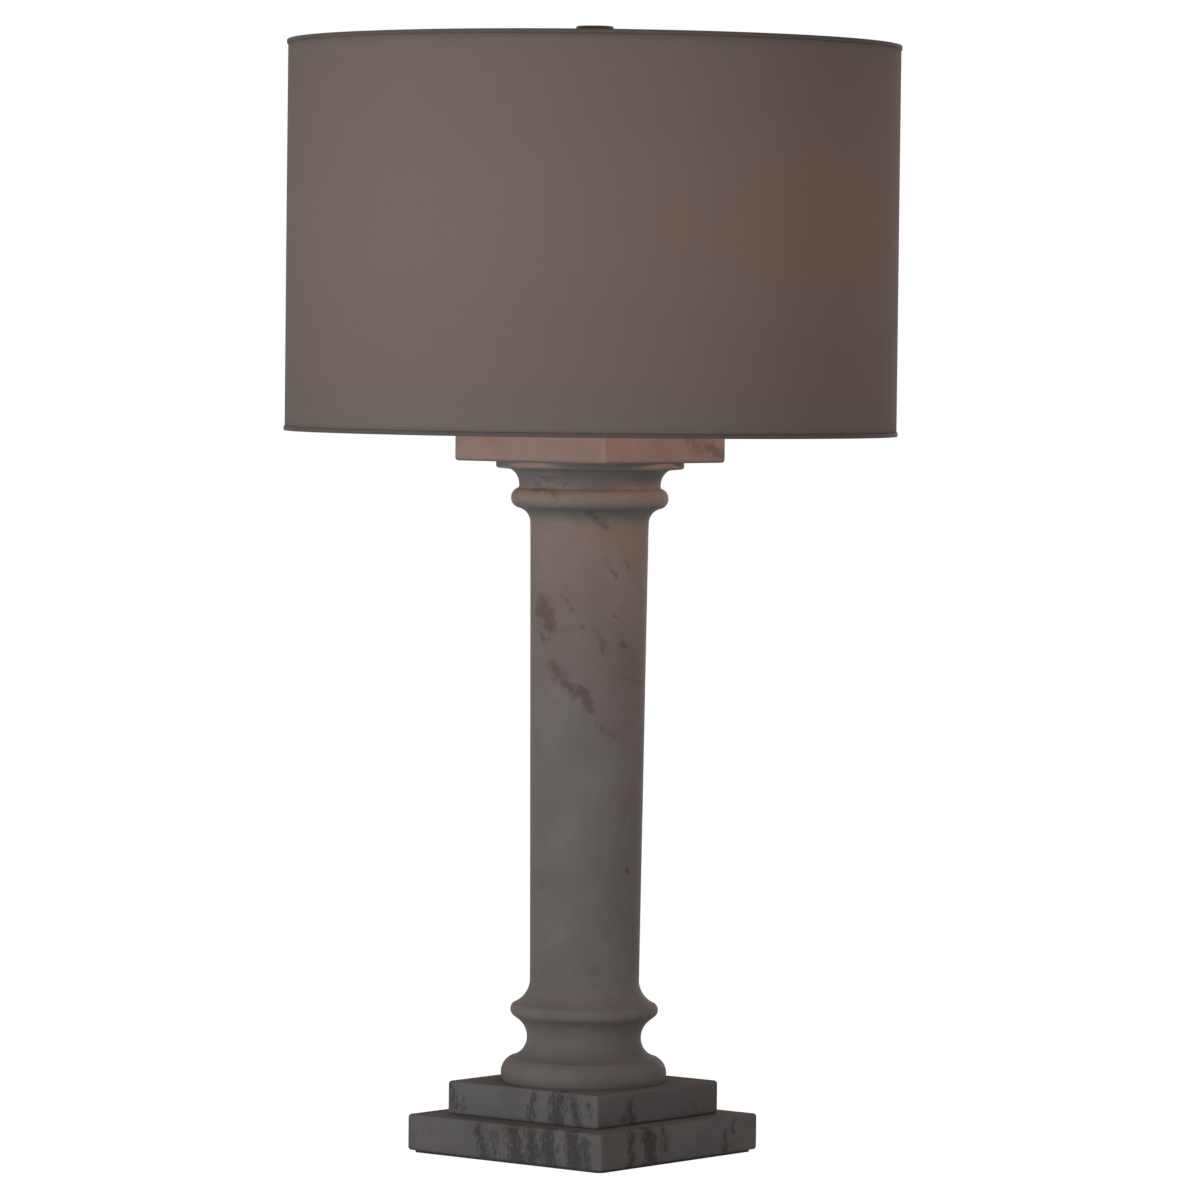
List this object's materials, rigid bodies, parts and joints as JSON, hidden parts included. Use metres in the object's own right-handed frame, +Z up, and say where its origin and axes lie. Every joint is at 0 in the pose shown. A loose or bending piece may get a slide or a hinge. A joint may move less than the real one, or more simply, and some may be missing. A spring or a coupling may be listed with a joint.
{
  "type": "column table lamp",
  "caption": "Table lamp with a turned marble column on stepped square plinths, a harp-mounted fabric drum shade, a turn-knob socket with a bulb, and a cord outlet in the back of the base.",
  "frame": {"origin": "middle of the face the lamp stands on", "axes": "+Z up along the column; +X and -X towards the legs of the harp; -Y towards the switch knob; +Y towards the back, where the cord leaves the base"},
  "size_m": [0.4319, 0.432, 0.7954],
  "materials": {
    "dark_felt": "dense dark brown wool felt",
    "grey_stone": "honed warm grey marble with darker grey and brown veins",
    "zinc_steel": "zinc-plated, dull",
    "dark_bronze": "dark bronze lacquer on steel and brass, satin",
    "aged_brass": "aged brass, satin",
    "black_plastic": "black moulded phenolic, semi-gloss",
    "fibre_board": "grey-brown fibre",
    "socket_aluminium": "bright pressed aluminium",
    "frosted_glass": "frosted, warm white",
    "black_glass": "dark vitreous insulator, glossy",
    "solder_tin": "tinned, dull",
    "taupe_cloth": "fine plain-weave taupe linen laminated on a stiff liner",
    "taupe_binding": "taupe cloth tape folded over the rims",
    "white_liner": "off-white styrene sheet",
    "white_wire": "off-white powder-coated steel wire"
  },
  "bodies": {
    "base": {"felt_pad": "dark_felt", "lower_plinth": "grey_stone", "upper_plinth": "grey_stone", "column": "grey_stone", "abacus": "grey_stone", "tie_rod": "zinc_steel", "bottom_washer": "zinc_steel", "lock_washer": "zinc_steel", "bottom_nut": "zinc_steel", "cord_bushing": "black_plastic", "check_ring": "dark_bronze", "lock_nut": "zinc_steel", "neck_tube": "dark_bronze", "harp_saddle": "dark_bronze", "harp_bow": "dark_bronze", "socket_cap": "aged_brass", "cap_set_screw": "zinc_steel", "socket_shell": "aged_brass", "socket_insulator": "fibre_board", "socket_body": "black_plastic", "terminal_screws": "aged_brass", "screw_shell": "socket_aluminium", "centre_contact": "aged_brass"},
    "swivel": {"harp_swivel": "dark_bronze"},
    "shade": {"shade_cover": "taupe_cloth", "shade_liner": "white_liner", "top_binding": "taupe_binding", "bottom_binding": "taupe_binding", "top_ring": "white_wire", "bottom_ring": "white_wire", "spider": "white_wire"},
    "finial": {"finial": "dark_bronze"},
    "left_sleeve": {"harp_sleeve_left": "dark_bronze"},
    "right_sleeve": {"harp_sleeve_right": "dark_bronze"},
    "knob": {"switch_spindle": "zinc_steel", "switch_knob": "black_plastic"},
    "bulb": {"bulb_glass": "frosted_glass", "bulb_base": "socket_aluminium", "bulb_insulator": "black_glass", "bulb_contact": "solder_tin"}
  },
  "joints": [
    {"name": "swivel_turn", "type": "hinge", "parent": "base", "child": "swivel", "pos_m": [0, 0, 0.771], "axis": [0, 0, 1], "continuous": true},
    {"name": "shade_lift", "type": "slide", "parent": "swivel", "child": "shade", "axis": [0, 0, 1], "range_m": [0, 0.29]},
    {"name": "finial_turn", "type": "hinge", "parent": "shade", "child": "finial", "pos_m": [0, 0, 0.78], "axis": [0, 0, 1], "continuous": true},
    {"name": "left_sleeve_lift", "type": "slide", "parent": "base", "child": "left_sleeve", "axis": [0, 0, 1], "range_m": [0, 0.012]},
    {"name": "right_sleeve_lift", "type": "slide", "parent": "base", "child": "right_sleeve", "axis": [0, 0, 1], "range_m": [0, 0.012]},
    {"name": "switch_turn", "type": "hinge", "parent": "base", "child": "knob", "pos_m": [0, -0.02, 0.56], "axis": [0, -1, 0], "continuous": true},
    {"name": "bulb_unscrew", "type": "slide", "parent": "base", "child": "bulb", "axis": [0, 0, 1], "range_m": [0, 0.028]}
  ]
}
